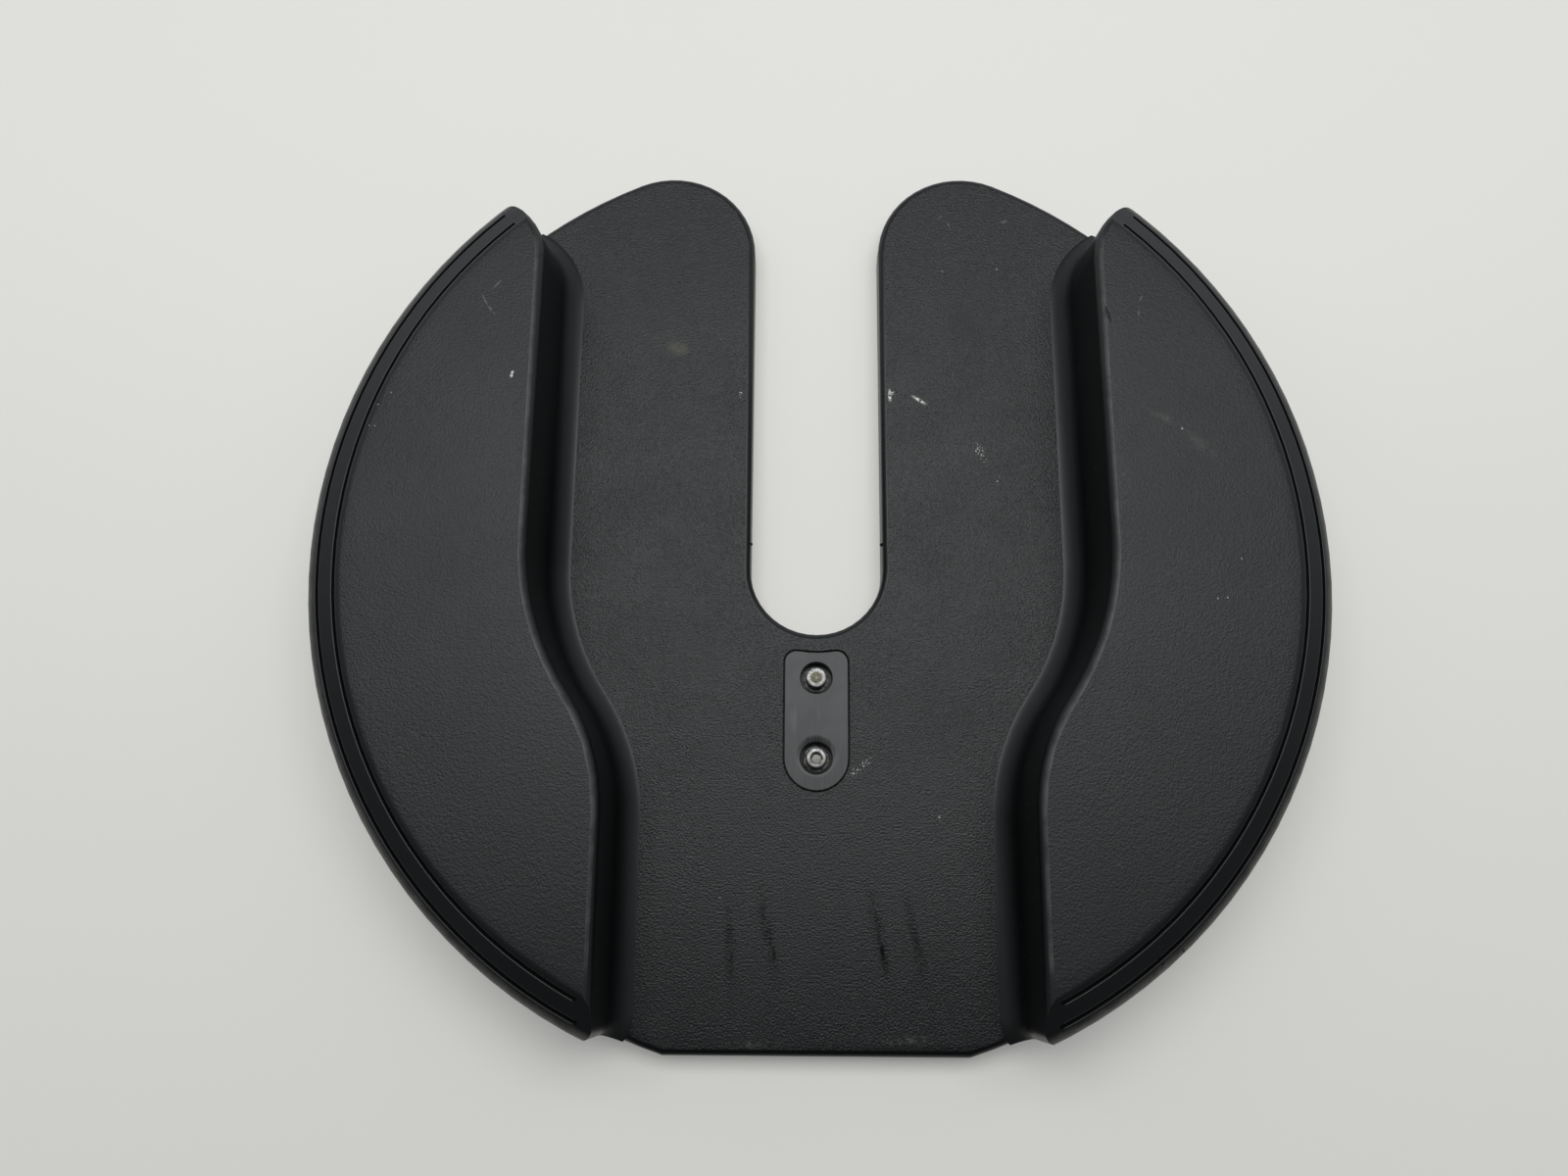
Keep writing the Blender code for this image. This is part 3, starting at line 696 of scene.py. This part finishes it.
def add_dirt_and_flash(shell):
    cake = dirt_material("caked_dirt", (0.085, 0.075, 0.05, 1.0), (0.30, 0.27, 0.19, 1.0))
    chalk = dirt_material("pale_dirt", (0.22, 0.20, 0.16, 1.0), (0.48, 0.45, 0.39, 1.0))
    front = SCREWS["front"] / MM
    rear = SCREWS["rear"] / MM
    burrs = [(x, y, r, z - BURR_SINK, z + BURR_RISE, x) for x, y, z, r in BURRS]
    heap("front_socket_dirt", cake, "screws", (0.0, front, 1.75, 9.30, 9.62, 1.0))
    heap("front_socket_chalk", chalk, "screws", (0.02, front - 0.1, 0.55, 9.52, 9.74, 2.5))
    heap("moulding_burrs", shell, "shell", *burrs)
    heap("rear_socket_dirt", chalk, "screws", (0.05, rear - 0.25, 1.22, 8.75, 9.25, 2.0))


def add_floor():
    """A pale table, which can be seen through from below. What sees it directly also gets a painted
    light, brighter towards the back, that lightens the shadows on it.
    """
    built = bmesh.new()
    bmesh.ops.create_grid(built, x_segments=8, y_segments=8, size=FLOOR_HALF)
    g = Graph("pale_table")
    cloud = g.noise(3.0, 3.0, 0.5)
    fine = g.noise(60.0, 3.0, 0.6, seed=3.0)
    color = g.mix(cloud, gray(0.715, (1.041, 1.0, 0.931)), gray(0.745, (1.041, 1.0, 0.934)))
    color = g.mix(g.times(fine, 0.06), color, gray(0.66))
    g.feed(g.shader.inputs["Base Color"], color)
    g.shader.inputs["Roughness"].default_value = 0.55
    g.shader.inputs["Specular IOR Level"].default_value = 0.2
    rays = g.add("ShaderNodeLightPath").outputs
    seen = g.most(rays["Is Camera Ray"], rays["Is Glossy Ray"], rays["Is Transmission Ray"])
    # Painted light on the table: brighter towards the back, and lightening its shadows
    level = g.ramp(g.y, *GLOW_Y, *GLOW_LEVELS)
    glow = g.add("ShaderNodeEmission", (1.0, 0.995, 0.965, 1.0), level).outputs[0]
    lit = g.add("ShaderNodeMixShader", g.times(seen, FLOOR_GLOW), g.shader.outputs[0], glow)
    below = g.add("ShaderNodeNewGeometry").outputs["Backfacing"]
    clear = g.add("ShaderNodeBsdfTransparent").outputs[0]
    sided = g.add("ShaderNodeMixShader", below, lit.outputs[0], clear)
    g.feed(g.tree.nodes["Material Output"].inputs["Surface"], sided.outputs[0])
    floor = piece("table", built, g.material)
    floor.location.z = -FLOOR_DROP


def add_lamp():
    lamp = bpy.data.lights.new("softbox", "AREA")
    lamp.shape = "RECTANGLE"
    lamp.size, lamp.size_y = LAMP_SIZE
    lamp.energy = LAMP_ENERGY
    lamp.color = LAMP_COLOR
    key = bpy.data.objects.new("softbox", lamp)
    bpy.context.collection.objects.link(key)
    key.location = LAMP_PLACE
    aim = -Vector(LAMP_PLACE)
    key.rotation_euler = aim.to_track_quat("-Z", "Y").to_euler()


def add_room():
    """Dark in front, brightest low down at the back, and lighter on both sides of the lamp."""
    world = bpy.data.worlds.new("room")
    bpy.context.scene.world = world
    world.use_nodes = True
    n = Nodes(world.node_tree)
    way = n.add("ShaderNodeTexCoord").outputs["Generated"]
    x, y, z = n.add("ShaderNodeSeparateXYZ", way).outputs
    overhead = n.ramp(y, -0.25, 0.75, 0.04, 0.32)
    windows = n.times(n.ramp(y, -0.55, 0.75, 0.06, 1.20), n.ramp(z, 0.22, 0.44, 1.0, 0.0))
    sides = n.ramp(n.math("ABSOLUTE", x), 0.32, 0.60, 0.0, 0.38)
    sides = n.times(sides, n.ramp(z, 0.40, 0.62))
    sky = n.tree.nodes["Background"]
    sky.inputs["Color"].default_value = ROOM_COLOR
    n.feed(sky.inputs["Strength"], n.total(overhead, windows, sides))


def add_camera():
    data = bpy.data.cameras.new("photo_camera")
    data.sensor_fit = "HORIZONTAL"
    data.sensor_width = SENSOR_WIDTH
    data.lens = SENSOR_WIDTH * FOCAL_PIXELS / PHOTO_WIDTH
    data.clip_start = 0.01
    made = bpy.data.objects.new("photo_camera", data)
    bpy.context.collection.objects.link(made)
    turn = Matrix(CAMERA_AXES).transposed().to_4x4()
    made.matrix_world = Matrix.Translation(CAMERA_PLACE) @ turn
    bpy.context.scene.camera = made


bpy.context.scene.view_settings.view_transform = "Standard"
shell_plastic = Shell().material
dress_nodes(shell_plastic)
add_screws()
add_dirt_and_flash(shell_plastic)
add_floor()
add_lamp()
add_room()
add_camera()
